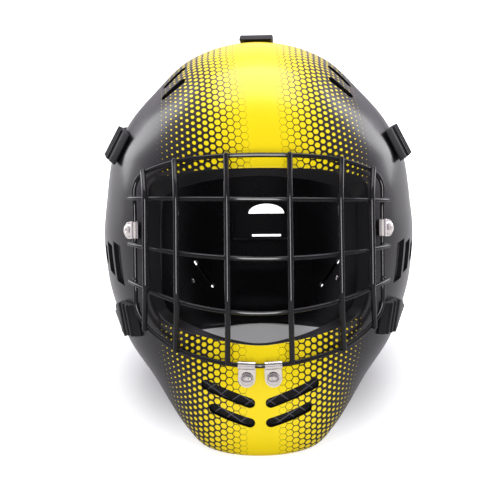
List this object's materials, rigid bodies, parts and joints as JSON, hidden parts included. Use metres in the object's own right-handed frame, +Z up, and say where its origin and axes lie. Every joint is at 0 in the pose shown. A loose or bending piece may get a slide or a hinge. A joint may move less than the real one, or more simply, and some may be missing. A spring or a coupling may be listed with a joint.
{
  "type": "floorball goalie mask",
  "caption": "Floorball goalie mask: a painted shell with a welded wire cage on four clips, a back plate on elastic straps, and pads inside.",
  "frame": {"origin": "centre of the bounding box's bottom face, on the surface that the mask rests on", "axes": "+Z up as it rests on its chin and the back plate's lower edge, face towards -Y, +X to the right in a front view"},
  "size_m": [0.235, 0.2942, 0.2562],
  "materials": {
    "painted_shell": "satin black with a yellow printed band and honeycomb",
    "black_plastic": "smooth satin",
    "coated_wire": "gloss powder coat",
    "plated_steel": "bright plated",
    "black_foam": "fabric-faced foam",
    "webbing": "woven elastic"
  },
  "bodies": {
    "root": {"back_plate": "black_plastic", "chin_clip_left": "plated_steel", "chin_clip_right": "plated_steel", "chin_pad": "black_foam", "chin_screw_left": "plated_steel", "chin_screw_right": "plated_steel", "front_shell": "painted_shell", "lower_buckle_left": "black_plastic", "lower_buckle_right": "black_plastic", "lower_rivet_left": "plated_steel", "lower_rivet_right": "plated_steel", "lower_strap_left": "webbing", "lower_strap_right": "webbing", "side_clip_left": "plated_steel", "side_clip_right": "plated_steel", "side_pad_left": "black_foam", "side_pad_right": "black_foam", "side_screw_left": "plated_steel", "side_screw_right": "plated_steel", "top_buckle": "black_plastic", "top_rivet": "plated_steel", "top_strap": "webbing", "upper_buckle_left": "black_plastic", "upper_buckle_right": "black_plastic", "upper_rivet_left": "plated_steel", "upper_rivet_right": "plated_steel", "upper_strap_left": "webbing", "upper_strap_right": "webbing", "wire_cage": "coated_wire"}
  },
  "joints": []
}
